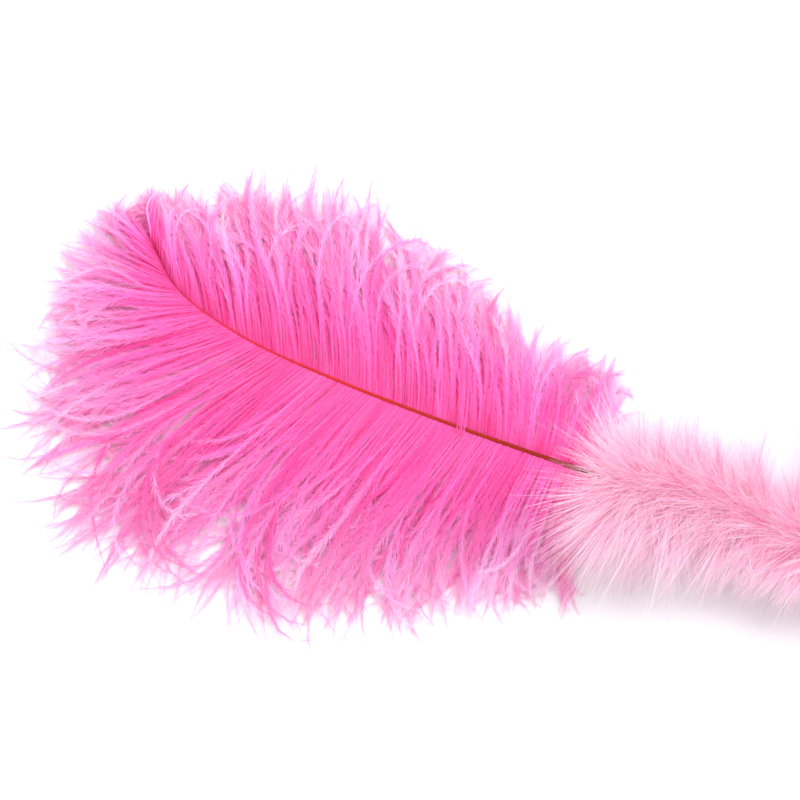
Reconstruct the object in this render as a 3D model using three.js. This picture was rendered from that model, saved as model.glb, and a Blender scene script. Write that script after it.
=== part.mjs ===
// A marabou feather boa with one large ostrich plume bound to its head end.
// Millimetres, +Z up. The boa and the plume lie on the table, which is the plane z = 0.
// The origin is on the table under the boa's first cluster. +X runs along the boa, away from the plume.
import * as THREE from "three";

// ---- The boa ----
const BOA_LENGTH = 1800; // along the core, from the plume's lashing to the end of the tail knot
const FLUFF_RADIUS = 40; // tips of the marabou round the core
const NOTCH_RADIUS = 22; // hollows between the lobes of fluff
const LOBES = 8; // lobes of fluff seen end on
const CLUSTER_LENGTH = 72; // one cluster of marabou along the core
const CLUSTER_STEPS = 3; // straight steps in one cluster
const HEAD_LENGTH = 132; // from the lashing to the head's bend
const TAIL_LENGTH = 132; // from the tail's bend to the end
const CORD_RADIUS = 1.5; // the twisted core cord
const KNOT_RADIUS = 4; // the knot that ends the tail
const SEAM = 0.4; // between clusters, and between a cord and its knots
const CORD_CLEARANCE = 0.35; // between the core cord and the fluff round it

// ---- Bends ----
const BEND_RANGE = 30; // degrees, at the head's bend
const BEND_CORD_GAP = 1; // between two lengths of core cord at a bend
const BEND_CLEARANCE = 1.3; // left between two clusters at the limit of a bend

// ---- The coil that the rest of the boa is put away in ----
const COIL_RADIUS = 150; // to the core
const COIL_X = 228; // where the lead meets the coil
const COIL_STEP = 15; // degrees between the route's points on the coil
const CLIMB_SPAN = 87; // degrees of coil in which the boa climbs onto the turn below
const LEVEL_GAP = 1.2; // between one turn and the turn under it

// ---- The plume ----
const PIVOT_X = -30; // where the plume's root meets the lashing
const LASHING_RADIUS = 4; // thread wound round the joint
const PLUME_LENGTH = 264; // along the shaft, from the lashing to the tip
const SHAFT_BASE_RADIUS = 1.2;
const SHAFT_TIP_RADIUS = 0.35;
const SHAFT_SIDES = 8;
const SHAFT_STEPS = 22;
const ROOT_END = 27; // how far from the lashing the bare root meets the shaft
const LOWER_BARB = 154; // the longest barb on the lower vane
const UPPER_BARB = 100; // the longest barb on the upper vane
const VANE_START = 0.075; // share of the shaft that is bare at the root
const TUFTS = 6; // tufts in each vane
const TUFT_SCALLOP = 0.07; // how much shorter a tuft is at its sides
const ROOT_THICKNESS = 6; // a tuft at the shaft
const END_THICKNESS = 2.4; // a tuft at the barbs' ends
const DROOP_REACH = 62; // how far from the shaft the barbs come down to the table
const VANE_GAP = 0.9; // between a tuft and the shaft, and between two tufts
const TIP_SEGMENTS = 4; // steps round the tip's fan
const TIP_SPREAD = 0.8; // share of the angle between the two vanes that the fan fills
const TIP_CLEAR = 2; // from the shaft's tip to the fan

// ---- Colours ----
const MARABOU_PINK = 0xf7a8cd;
const PLUME_PINK = 0xff4aa6;
const SHAFT_BROWN = 0xb5622f;
const ROOT_BROWN = 0x4a2a1c;
const THREAD_PINK = 0xe45a98;
const CORD_PINK = 0xe88ab8;

const degrees = THREE.MathUtils.degToRad;
const lerp = THREE.MathUtils.lerp;
const UP = new THREE.Vector3(0, 0, 1);

// The fluff stands on the flat foot between its two lowest lobes.
const CORE_HEIGHT = FLUFF_RADIUS * Math.cos(Math.PI / LOBES);
const LEVEL = 2 * CORE_HEIGHT + LEVEL_GAP;
const BEND_HALF_GAP = FLUFF_RADIUS * Math.tan(degrees(BEND_RANGE / 2)) + BEND_CLEARANCE;
const PIVOT = new THREE.Vector3(PIVOT_X, 0, CORE_HEIGHT);

// The lead, from the lashing to the coil: where the core runs on the table's plan.
const LEAD = [
  [-10, 6.2], [8.7, 10.4], [20, 11], [32.6, 10.3], [49.9, 7.9], [68.7, 5.4], [86, 3.8],
  [100, 2.8], [118, 1.8], [136, 1.1], [154, 0.6], [172, 0.3], [190, 0.1], [210, 0],
];

// A turn of the coil climbs onto the turn below before it crosses the lead.
function coilHeight(angle) {
  const crossing = THREE.MathUtils.radToDeg(Math.acos(1 - (2 * FLUFF_RADIUS) / COIL_RADIUS));
  const climbEnd = 360 - 0.61 * crossing;
  const turn = Math.floor(angle / 360);
  const within = angle - 360 * turn;
  const climbed = THREE.MathUtils.smoothstep(within, climbEnd - CLIMB_SPAN, climbEnd);
  return LEVEL * (turn + climbed);
}

function coilPoint(angle) {
  return new THREE.Vector3(
    COIL_X + COIL_RADIUS * Math.sin(degrees(angle)),
    COIL_RADIUS * (1 - Math.cos(degrees(angle))),
    CORE_HEIGHT + coilHeight(angle),
  );
}

// The core's whole route. The coil has spare length, so that the boa ends on it.
function boaRoute() {
  const points = [PIVOT.clone(), ...LEAD.map(([x, y]) => new THREE.Vector3(x, y, CORE_HEIGHT))];
  const spare = COIL_RADIUS;
  const coiled = (BOA_LENGTH + spare - (COIL_X - PIVOT_X)) / COIL_RADIUS;
  const last = Math.ceil(THREE.MathUtils.radToDeg(coiled) / COIL_STEP);
  for (let i = 0; i <= last; i += 1) {
    points.push(coilPoint(i * COIL_STEP));
  }
  const route = new THREE.CatmullRomCurve3(points, false, "centripetal");
  route.arcLengthDivisions = 2000;
  return route;
}

const ROUTE = boaRoute();
const ROUTE_LENGTH = ROUTE.getLength();

// The place and the directions of the core at a distance along it. Sections stay upright where the
// boa climbs, so that a turn lies evenly on the turn below.
function coreFrame(distance) {
  const at = distance / ROUTE_LENGTH;
  const ahead = ROUTE.getTangentAt(at);
  const left = new THREE.Vector3().crossVectors(UP, ahead).normalize();
  return { place: ROUTE.getPointAt(at), left, up: UP };
}

// Bends a straight extrusion, one unit deep, so that its steps lie at these distances along a path.
function bend(geometry, stations, frameAt, widthAt = () => 1) {
  const position = geometry.getAttribute("position");
  const last = stations.length - 1;
  for (let i = 0; i < position.count; i += 1) {
    const step = Math.round(position.getZ(i) * last);
    const width = widthAt(stations[step]);
    const { place, left, up } = frameAt(stations[step]);
    const point = place
      .clone()
      .addScaledVector(left, position.getX(i) * width)
      .addScaledVector(up, position.getY(i) * width);
    position.setXYZ(i, point.x, point.y, point.z);
  }
  geometry.computeVertexNormals();
  return geometry;
}

function polygon(sides, radius) {
  const points = [];
  for (let i = 0; i < sides; i += 1) {
    const angle = (2 * Math.PI * i) / sides;
    points.push(new THREE.Vector2(radius * Math.cos(angle), radius * Math.sin(angle)));
  }
  return points;
}

function straight(shape, steps) {
  return new THREE.ExtrudeGeometry(shape, { depth: 1, steps, bevelEnabled: false });
}

function node(name, geometry, color, roughness = 0.9) {
  const material = new THREE.MeshStandardMaterial({ color, roughness, metalness: 0 });
  const mesh = new THREE.Mesh(geometry, material);
  mesh.name = name;
  return mesh;
}

function stretch(from, to, steps) {
  return Array.from({ length: steps + 1 }, (_, i) => lerp(from, to, i / steps));
}

// ---- Marabou ----
// Lobes of fluff round the core, with a flat foot in place of the lowest hollow.
function fluffShape() {
  const points = [];
  for (let i = 0; i < 2 * LOBES; i += 1) {
    const angle = -Math.PI / 2 + (Math.PI * i) / LOBES;
    const radius = i % 2 === 1 ? FLUFF_RADIUS : NOTCH_RADIUS;
    if (i > 0) {
      points.push(new THREE.Vector2(radius * Math.cos(angle), radius * Math.sin(angle)));
    }
  }
  const shape = new THREE.Shape(points);
  const channel = (CORD_RADIUS + CORD_CLEARANCE) / Math.cos(Math.PI / 8);
  shape.holes.push(new THREE.Path(polygon(8, channel)));
  return shape;
}

let clusterNumber = 0;

function cluster(from, to) {
  clusterNumber += 1;
  const stations = stretch(from, to, CLUSTER_STEPS);
  stations[0] += SEAM / 2;
  stations[CLUSTER_STEPS] -= SEAM / 2;
  const geometry = bend(straight(fluffShape(), CLUSTER_STEPS), stations, coreFrame);
  return node(`marabou_cluster_${String(clusterNumber).padStart(2, "0")}`, geometry, MARABOU_PINK);
}

// Clusters side by side, and the core cord that they are bound on, with its steps at theirs.
function strand(group, cordName, cordFrom, from, to, cordTo) {
  const count = Math.round((to - from) / CLUSTER_LENGTH);
  const clusters = Math.max(count, 2);
  const ends = stretch(from, to, clusters);
  for (let i = 0; i < clusters; i += 1) {
    group.add(cluster(ends[i], ends[i + 1]));
  }
  const stations = [cordFrom, ...stretch(from, to, clusters * CLUSTER_STEPS), cordTo];
  const cord = straight(new THREE.Shape(polygon(8, CORD_RADIUS)), stations.length - 1);
  group.add(node(cordName, bend(cord, stations, coreFrame), CORD_PINK));
}

function tailKnot() {
  const knot = node("tail_knot", new THREE.SphereGeometry(KNOT_RADIUS, 12, 8), CORD_PINK);
  knot.position.copy(coreFrame(BOA_LENGTH - KNOT_RADIUS).place);
  return knot;
}

// ---- Plume ----
// The shaft's route as shares of its length: along -X, across, and its height in millimetres.
const SHAFT_ROUTE = new THREE.CatmullRomCurve3(
  [
    [0, 0, CORE_HEIGHT],
    [0.104, 0, 30],
    [0.311, 0, 20],
    [0.561, 0.008, 14],
    [0.748, 0.027, 11],
    [0.889, 0.07, 9],
    [0.966, 0.137, 8],
  ].map(([along, across, height]) =>
    new THREE.Vector3(PIVOT_X - along * PLUME_LENGTH, across * PLUME_LENGTH, height)),
  false,
  "centripetal",
);
SHAFT_ROUTE.arcLengthDivisions = 800;

// The barbs' lengths at even steps from the shaft's root to its tip, as shares of the longest.
const LOWER_PROFILE = [0.56, 0.65, 0.83, 1, 0.85, 0.49, 0.18];
const UPPER_PROFILE = [0.64, 0.67, 0.86, 1, 0.88, 0.6, 0.3];

function shaftFrame(share) {
  const ahead = SHAFT_ROUTE.getTangentAt(share);
  const flatAhead = new THREE.Vector3(ahead.x, ahead.y, 0).normalize();
  const left = new THREE.Vector3().crossVectors(UP, ahead).normalize();
  const up = new THREE.Vector3().crossVectors(ahead, left);
  return { place: SHAFT_ROUTE.getPointAt(share), ahead: flatAhead, left, up };
}

function shaftRadius(share) {
  return lerp(SHAFT_BASE_RADIUS, SHAFT_TIP_RADIUS, share);
}

function profileAt(profile, share) {
  const at = share * (profile.length - 1);
  const i = Math.min(Math.floor(at), profile.length - 2);
  return lerp(profile[i], profile[i + 1], at - i);
}

// A barb leaves the shaft about at right angles and turns towards the tip, along an arc.
// side is 1 for the upper vane, on +Y, and -1 for the lower one.
function barbAngles(side, share) {
  return side > 0
    ? [-10 + 70 * share ** 3, 40 + 46 * share ** 1.5]
    : [2 + 62 * share ** 3, 38 + 44 * share ** 1.5];
}

// Where an arc that starts at one angle from the first direction and ends at another has got to.
function alongArc(start, first, second, angles, length) {
  const [from, to] = angles.map(degrees);
  const turn = to - from;
  return start
    .clone()
    .addScaledVector(first, (length * (Math.sin(to) - Math.sin(from))) / turn)
    .addScaledVector(second, (length * (Math.cos(from) - Math.cos(to))) / turn);
}

// The barbs' underside comes down from the shaft to the table.
function vaneHeight(place, reach) {
  const lowest = Math.max(place.z - ROOT_THICKNESS / 2, 0);
  return lowest * Math.max(1 - reach / DROOP_REACH, 0) ** 1.4;
}

function barbPoint(side, share, along, scale) {
  const { place, ahead, left } = shaftFrame(share);
  const out = new THREE.Vector3(left.x, left.y, 0).normalize().multiplyScalar(-side);
  const profile = side > 0 ? UPPER_PROFILE : LOWER_PROFILE;
  const longest = side > 0 ? UPPER_BARB : LOWER_BARB;
  const length = longest * profileAt(profile, share) * scale * Math.max(along, 1e-3);
  const [from, to] = barbAngles(side, share);
  const start = place.clone().addScaledVector(out, shaftRadius(share) + VANE_GAP);
  const point = alongArc(start, out, ahead, [from, lerp(from, to, Math.max(along, 1e-3))], length);
  point.z = vaneHeight(place, length);
  return point;
}

// Bends a unit box into a tuft: its x runs along the shaft or round the tip, its y out along the barbs.
function tuft(name, acrossSteps, barbSteps, pointAt) {
  const geometry = new THREE.BoxGeometry(1, 1, 1, acrossSteps, barbSteps, 1);
  const position = geometry.getAttribute("position");
  for (let i = 0; i < position.count; i += 1) {
    const across = position.getX(i) + 0.5;
    const along = position.getY(i) + 0.5;
    const scale = 1 - TUFT_SCALLOP * (2 * across - 1) ** 2;
    const point = pointAt(across, along, scale);
    const thickness = lerp(ROOT_THICKNESS, END_THICKNESS, along);
    point.z += (position.getZ(i) + 0.5) * thickness;
    position.setXYZ(i, point.x, point.y, point.z);
  }
  geometry.computeVertexNormals();
  return node(name, geometry, PLUME_PINK);
}

function vane(group, side, word) {
  const gap = VANE_GAP / PLUME_LENGTH;
  const shares = stretch(VANE_START, 1, TUFTS);
  for (let i = 0; i < TUFTS; i += 1) {
    const near = shares[i] + gap / 2;
    const far = shares[i + 1] - gap / 2;
    const pointAt = (across, along, scale) =>
      barbPoint(side, side > 0 ? lerp(far, near, across) : lerp(near, far, across), along, scale);
    group.add(tuft(`${word}_vane_tuft_${i + 1}`, 3, 5, pointAt));
  }
}

// The fan past the shaft's tip, between the last barbs of the two vanes.
function tipTuft() {
  const { place, ahead, left } = shaftFrame(1);
  const flatLeft = new THREE.Vector3(left.x, left.y, 0).normalize();
  const [lowerFrom, lowerTo] = barbAngles(-1, 1);
  const [upperFrom, upperTo] = barbAngles(1, 1);
  return tuft("plume_tip_tuft", TIP_SEGMENTS, 3, (across, along, scale) => {
    const fan = TIP_SPREAD * lerp(90 - lowerFrom, upperFrom - 90, across);
    const end = TIP_SPREAD * lerp(90 - lowerTo, upperTo - 90, across);
    const longest = lerp(LOWER_BARB * LOWER_PROFILE.at(-1), UPPER_BARB * UPPER_PROFILE.at(-1), across);
    const reach = Math.max(along, 1e-3);
    const length = scale * reach * longest;
    const start = place
      .clone()
      .addScaledVector(ahead, TIP_CLEAR * Math.cos(degrees(fan)))
      .addScaledVector(flatLeft, TIP_CLEAR * Math.sin(degrees(fan)));
    const point = alongArc(start, ahead, flatLeft, [fan, lerp(fan, end, reach) + 1e-3], length);
    point.z = vaneHeight(place, length);
    return point;
  });
}

function plumeShaft() {
  const stations = stretch(ROOT_END / PLUME_LENGTH, 1, SHAFT_STEPS);
  const shape = new THREE.Shape(polygon(SHAFT_SIDES, 1));
  const geometry = bend(straight(shape, SHAFT_STEPS), stations, shaftFrame, shaftRadius);
  return node("plume_shaft", geometry, SHAFT_BROWN, 0.5);
}

function quillRoot() {
  const start = (LASHING_RADIUS + SEAM) / PLUME_LENGTH;
  const end = (ROOT_END - SEAM) / PLUME_LENGTH;
  const shape = new THREE.Shape(polygon(SHAFT_SIDES, 1));
  const fatter = (share) => 1.15 * shaftRadius(share);
  const geometry = bend(straight(shape, 3), stretch(start, end, 3), shaftFrame, fatter);
  return node("quill_root", geometry, ROOT_BROWN, 0.5);
}

function lashing() {
  const thread = node("lashing_thread", new THREE.SphereGeometry(LASHING_RADIUS, 12, 8), THREAD_PINK);
  thread.position.copy(PIVOT);
  return thread;
}

// ---- Assembly ----
const boa = new THREE.Group();
const headBend = HEAD_LENGTH;
const tailBend = BOA_LENGTH - TAIL_LENGTH;
const halfCordGap = BEND_CORD_GAP / 2;
const firstCluster = LASHING_RADIUS + 2;
const lastCluster = BOA_LENGTH - 2 * KNOT_RADIUS - 4;
const cordStart = LASHING_RADIUS + SEAM;
const cordEnd = BOA_LENGTH - 2 * KNOT_RADIUS - SEAM;

boa.add(plumeShaft(), quillRoot());
vane(boa, 1, "upper");
vane(boa, -1, "lower");
boa.add(tipTuft(), lashing());
strand(boa, "head_cord", cordStart, firstCluster, headBend - BEND_HALF_GAP, headBend - halfCordGap);
strand(
  boa,
  "boa_cord",
  headBend + halfCordGap,
  headBend + BEND_HALF_GAP,
  tailBend - BEND_HALF_GAP,
  tailBend - halfCordGap,
);
strand(boa, "tail_cord", tailBend + halfCordGap, tailBend + BEND_HALF_GAP, lastCluster, cordEnd);
boa.add(tailKnot());

export default boa;
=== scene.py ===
import math

import bpy
import numpy as np
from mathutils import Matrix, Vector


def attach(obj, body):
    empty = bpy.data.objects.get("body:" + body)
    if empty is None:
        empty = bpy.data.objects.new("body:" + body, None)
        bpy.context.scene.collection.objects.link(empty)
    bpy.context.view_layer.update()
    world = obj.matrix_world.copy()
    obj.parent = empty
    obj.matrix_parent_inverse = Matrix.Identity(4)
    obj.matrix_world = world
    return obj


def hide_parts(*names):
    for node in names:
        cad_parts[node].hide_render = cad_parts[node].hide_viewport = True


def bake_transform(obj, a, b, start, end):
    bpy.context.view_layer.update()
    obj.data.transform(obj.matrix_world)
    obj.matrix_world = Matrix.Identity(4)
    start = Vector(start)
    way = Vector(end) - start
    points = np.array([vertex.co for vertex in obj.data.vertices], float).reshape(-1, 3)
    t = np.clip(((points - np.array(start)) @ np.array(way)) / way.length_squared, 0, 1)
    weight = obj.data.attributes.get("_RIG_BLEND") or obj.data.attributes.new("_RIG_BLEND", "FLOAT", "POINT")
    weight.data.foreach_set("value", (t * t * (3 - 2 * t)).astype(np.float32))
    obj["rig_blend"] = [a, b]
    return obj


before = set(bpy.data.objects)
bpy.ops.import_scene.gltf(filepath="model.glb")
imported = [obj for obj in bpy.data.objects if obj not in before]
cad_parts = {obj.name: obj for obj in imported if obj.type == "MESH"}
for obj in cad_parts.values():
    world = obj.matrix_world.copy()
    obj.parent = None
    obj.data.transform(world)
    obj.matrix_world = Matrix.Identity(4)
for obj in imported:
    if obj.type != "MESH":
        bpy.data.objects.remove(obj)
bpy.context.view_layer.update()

mm = 0.001
up = np.array([0.0, 0.0, 1.0])
featherMap = "OFBake"  # u is how light a strand is there, v is the strand's tone, which also carries painted shade and painted highlights


# the sizes and places here are the same as in the part's own source
boa = {
    "length": 1800 * mm,
    "fluffRadius": 40 * mm,
    "lobes": 8,
    "headLength": 132 * mm,
    "tailLength": 132 * mm,
    "bendRange": 30,
    "bendClearance": 1.3 * mm,
    "coilRadius": 150 * mm,
    "coilX": 228 * mm,
    "coilStep": 15,
    "climbSpan": 87,
    "levelGap": 1.2 * mm,
    "knotRadius": 4 * mm,
    "cordRadius": 1.5 * mm,
    "lead": [
        (-10, 6.2), (8.7, 10.4), (20, 11), (32.6, 10.3), (49.9, 7.9), (68.7, 5.4), (86, 3.8),
        (100, 2.8), (118, 1.8), (136, 1.1), (154, 0.6), (172, 0.3), (190, 0.1), (210, 0),
    ],
}
plume = {
    "pivotX": -30 * mm,
    "lashingRadius": 4 * mm,
    "length": 264 * mm,
    "baseRadius": 1.2 * mm,
    "tipRadius": 0.35 * mm,
    "rootEnd": 27 * mm,
    "vaneStart": 0.075,
    "tufts": 6,
    "longestBarb": {1: 97 * mm, -1: 149 * mm},  # upper vane, lower vane
    "barbProfile": {1: [0.5, 0.62, 0.83, 1, 0.92, 0.62, 0.31], -1: [0.34, 0.61, 0.79, 0.95, 1.0, 0.56, 0.2]},
    "shaft": [
        (0, 0, 36.955), (0.104, 0, 30), (0.311, 0, 20), (0.561, 0.008, 14),
        (0.748, 0.027, 11), (0.889, 0.07, 9), (0.966, 0.137, 8),
    ],
}
coreHeight = boa["fluffRadius"] * math.cos(math.pi / boa["lobes"])
coilLevel = 2 * coreHeight + boa["levelGap"]
bendHalfGap = boa["fluffRadius"] * math.tan(math.radians(boa["bendRange"] / 2)) + boa["bendClearance"]


def catmullRom(points, perSpan=40):  # centripetal, through every point
    p = np.asarray(points, float)
    p = np.vstack([2 * p[0] - p[1], p, 2 * p[-1] - p[-2]])
    gap = np.linalg.norm(np.diff(p, axis=0), axis=1) ** 0.5
    t = np.linspace(0, 1, perSpan, endpoint=False)[:, None]
    line = []
    for i in range(1, len(p) - 2):
        a, b, c, d = p[i - 1 : i + 3]
        g0, g1, g2 = gap[i - 1 : i + 2]
        m1 = ((b - a) / g0 - (c - a) / (g0 + g1) + (c - b) / g1) * g1
        m2 = ((c - b) / g1 - (d - b) / (g1 + g2) + (d - c) / g2) * g1
        line.append(b + m1 * t + (3 * (c - b) - 2 * m1 - m2) * t**2 + (2 * (b - c) + m1 + m2) * t**3)
    return np.vstack(line + [p[-2:-1]])


def unit(v):
    return v / np.maximum(np.linalg.norm(v, axis=-1, keepdims=True), 1e-12)


class Path:  # a smooth line, asked by the distance along it
    def __init__(self, points):
        self.line = catmullRom(points)
        self.far = np.r_[0, np.cumsum(np.linalg.norm(np.diff(self.line, axis=0), axis=1))]
        self.length = self.far[-1]

    def at(self, distance):
        return np.stack([np.interp(distance, self.far, self.line[:, k]) for k in range(3)], -1)

    def ahead(self, distance):
        return unit(self.at(np.asarray(distance) + 0.5 * mm) - self.at(np.asarray(distance) - 0.5 * mm))


def smoothstep(x, low, high):
    t = np.clip((x - low) / (high - low), 0, 1)
    return t * t * (3 - 2 * t)


def coilPoint(angle):
    crossing = math.degrees(math.acos(1 - 2 * boa["fluffRadius"] / boa["coilRadius"]))
    climbEnd = 360 - 0.61 * crossing
    turn, within = divmod(angle, 360)
    climbed = smoothstep(within, climbEnd - boa["climbSpan"], climbEnd)
    r = boa["coilRadius"]
    x, y = r * math.sin(math.radians(angle)), r * (1 - math.cos(math.radians(angle)))
    return boa["coilX"] + x, y, coreHeight + coilLevel * (turn + climbed)


def boaRoute():
    points = [(plume["pivotX"], 0, coreHeight)]
    points += [(x * mm, y * mm, coreHeight) for x, y in boa["lead"]]
    coiled = (boa["length"] + boa["coilRadius"] - (boa["coilX"] - plume["pivotX"])) / boa["coilRadius"]
    last = math.ceil(math.degrees(coiled) / boa["coilStep"])
    return Path(points + [coilPoint(i * boa["coilStep"]) for i in range(last + 1)])


core = boaRoute()
shaftLine = Path([
    (plume["pivotX"] - along * plume["length"], across * plume["length"], height * mm)
    for along, across, height in plume["shaft"]
])
print("paths: core", round(core.length, 3), "shaft", round(shaftLine.length, 3))


view = {
    "middle": (-0.1423, 0.003, 0.0),
    "roll": 19.3,  # how far the boa lies turned in the view
    "distance": 2.2,
    "width": 0.4,
    "sensor": 36,
}
cameraData = bpy.data.cameras.new("camera")
cameraData.sensor_width = view["sensor"]
cameraData.lens = view["sensor"] * view["distance"] / view["width"]
cameraData.clip_end = 20
camera = bpy.data.objects.new("camera", cameraData)
camera.location = (view["middle"][0], view["middle"][1], view["distance"])
camera.rotation_euler = (0, 0, math.radians(view["roll"]))
bpy.context.scene.collection.objects.link(camera)
bpy.context.scene.camera = camera


studio = {
    "floorSize": 24.0,
    "floorColor": (0.84, 0.84, 0.85, 1),
    "worldStrength": 0.74,
    "keyEnergy": 46,
    "keySize": 1.2,
    "keyPlace": (0.05, 0.95, 1.9),
    "fillEnergy": 9,
    "fillSize": 2.4,
    "fillPlace": (-1.7, -0.5, 1.5),
}


def plainMaterial(name, color, roughness):
    material = bpy.data.materials.new(name)
    material.use_nodes = True
    surface = material.node_tree.nodes["Principled BSDF"]
    surface.inputs["Base Color"].default_value = color
    surface.inputs["Roughness"].default_value = roughness
    return material


def buildStage():
    half = studio["floorSize"] / 2
    mesh = bpy.data.meshes.new("floor")
    corners = [(-half, -half, 0), (half, -half, 0), (half, half, 0), (-half, half, 0)]
    mesh.from_pydata(corners, [], [(0, 1, 2, 3)])
    mesh.materials.append(plainMaterial("floorPaper", studio["floorColor"], 0.9))
    floor = bpy.data.objects.new("floor", mesh)
    bpy.context.scene.collection.objects.link(floor)


def addLight(name, place, size, energy):
    data = bpy.data.lights.new(name, "AREA")
    data.shape = "DISK"
    data.size = size
    data.energy = energy
    light = bpy.data.objects.new(name, data)
    light.location = place
    towards = np.array([view["middle"][0], view["middle"][1], 0]) - np.array(place)
    pitch = math.atan2(math.hypot(towards[0], towards[1]), -towards[2])
    light.rotation_euler = (pitch, 0, math.atan2(towards[1], towards[0]) - math.pi / 2)
    bpy.context.scene.collection.objects.link(light)


buildStage()
addLight("keyLight", studio["keyPlace"], studio["keySize"], studio["keyEnergy"])
addLight("fillLight", studio["fillPlace"], studio["fillSize"], studio["fillEnergy"])
world = bpy.data.worlds.new("studioWorld")
world.use_nodes = True
world.node_tree.nodes["Background"].inputs["Color"].default_value = (1, 1, 1, 1)
world.node_tree.nodes["Background"].inputs["Strength"].default_value = studio["worldStrength"]
bpy.context.scene.world = world
bpy.context.scene.view_settings.view_transform = "Standard"
print("stage: floor and lights")


def startMaterial(name):  # a new material that reads the strand map
    material = bpy.data.materials.new(name)
    material.use_nodes = True
    nodes, links = material.node_tree.nodes, material.node_tree.links
    uv = nodes.new("ShaderNodeUVMap")
    uv.uv_map = featherMap
    split = nodes.new("ShaderNodeSeparateXYZ")
    links.new(uv.outputs["UV"], split.inputs[0])
    return material, nodes, links, uv.outputs["UV"], split.outputs


def colorRamp(nodes, links, source, stops):
    node = nodes.new("ShaderNodeValToRGB")
    ramp = node.color_ramp
    while len(ramp.elements) > 1:
        ramp.elements.remove(ramp.elements[-1])
    ramp.elements[0].position, ramp.elements[0].color = stops[0][0], (*stops[0][1], 1)
    for place, color in stops[1:]:
        ramp.elements.new(place).color = (*color, 1)
    links.new(source, node.inputs["Fac"])
    return node.outputs["Color"]


def sweepTube(name, centre, frames, radius, sides, shapeAt=None):  # a closed tube with its map
    count = len(centre)
    left, high = frames
    angle = 2 * math.pi * np.arange(sides) / sides
    rings = []
    for k in range(count):
        r = radius[k] * (np.ones(sides) if shapeAt is None else shapeAt(k, angle))
        flat, tall = (r * np.cos(angle))[:, None], (r * np.sin(angle))[:, None]
        rings.append(centre[k] + flat * left[k] + tall * high[k])
    vertices = np.vstack(rings + [centre[:1], centre[-1:]])
    faces, uvs = [], []
    for k in range(count - 1):
        for j in range(sides):
            n = (j + 1) % sides
            faces.append((k * sides + j, k * sides + n, (k + 1) * sides + n, (k + 1) * sides + j))
            a, b, low, top = k / (count - 1), (k + 1) / (count - 1), j / sides, (j + 1) / sides
            uvs.append([(a, low), (a, top), (b, top), (b, low)])
    last = (count - 1) * sides
    for j in range(sides):
        n = (j + 1) % sides
        faces.append((j, count * sides, n))
        uvs.append([(0, j / sides), (0.004, j / sides), (0, (j + 1) / sides)])
        faces.append((last + n, count * sides + 1, last + j))
        uvs.append([(1, (j + 1) / sides), (0.996, j / sides), (1, j / sides)])
    mesh = bpy.data.meshes.new(name)
    mesh.from_pydata(vertices.tolist(), [], faces)
    layer = mesh.uv_layers.new(name=featherMap)
    layer.data.foreach_set("uv", np.array([c for face in uvs for c in face], np.float32).ravel())
    mesh.polygons.foreach_set("use_smooth", [True] * len(faces))
    mesh.update()
    piece = bpy.data.objects.new(name, mesh)
    bpy.context.scene.collection.objects.link(piece)
    return piece


def uprightFrames(ahead):
    left = unit(np.cross(up, ahead))
    return left, np.cross(ahead, left)


def gradientMaterial(name, stops, roughness, streakScale, streak):
    material, nodes, links, uv, split = startMaterial(name)
    surface = nodes["Principled BSDF"]
    along = colorRamp(nodes, links, split["X"], stops)
    stretch = nodes.new("ShaderNodeMapping")
    stretch.inputs["Scale"].default_value = streakScale
    links.new(uv, stretch.inputs["Vector"])
    noise = nodes.new("ShaderNodeTexNoise")
    noise.inputs["Scale"].default_value = 1
    noise.inputs["Detail"].default_value = 4
    links.new(stretch.outputs[0], noise.inputs["Vector"])
    grain = nodes.new("ShaderNodeMapRange")
    grain.inputs["From Min"].default_value = 0.3
    grain.inputs["From Max"].default_value = 0.7
    grain.inputs["To Min"].default_value = 1 - streak
    grain.inputs["To Max"].default_value = 1
    links.new(noise.outputs["Fac"], grain.inputs["Value"])
    mix = nodes.new("ShaderNodeVectorMath")
    mix.operation = "SCALE"
    links.new(along, mix.inputs[0])
    links.new(grain.outputs[0], mix.inputs["Scale"])
    links.new(mix.outputs[0], surface.inputs["Base Color"])
    bump = nodes.new("ShaderNodeBump")
    bump.inputs["Strength"].default_value = 0.3
    bump.inputs["Distance"].default_value = 0.0002
    links.new(noise.outputs["Fac"], bump.inputs["Height"])
    links.new(bump.outputs[0], surface.inputs["Normal"])
    surface.inputs["Roughness"].default_value = roughness
    surface.inputs["Specular IOR Level"].default_value = 0.1
    return material


cordPiece = {
    "plies": 2,
    "twist": 9 * mm,  # the length of one turn of the plies
    "depth": 0.22,
    "step": 1.5 * mm,
    "sides": 12,
    "knotSides": 10,
    "pastBend": 33 * mm,  # where the head's cord meets the coil's
    "bendReach": 3 * mm,
    "gap": 0.5 * mm,
    "endGap": 0.4 * mm,
}


def buildCord(name, start, end):
    count = int((end - start) / cordPiece["step"]) + 1
    distance = np.linspace(start, end, count)
    spin = 2 * math.pi * distance / cordPiece["twist"]

    def plied(k, angle):  # plies lie round each other
        return 1 - cordPiece["depth"] * (0.5 - 0.5 * np.cos(cordPiece["plies"] * (angle - spin[k])))

    centre = core.at(distance)
    radius = np.full(count, boa["cordRadius"])
    cord = sweepTube(name, centre, uprightFrames(core.ahead(distance)), radius, cordPiece["sides"], plied)
    cord.data.materials.append(cordFinish)
    return cord, centre


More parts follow.
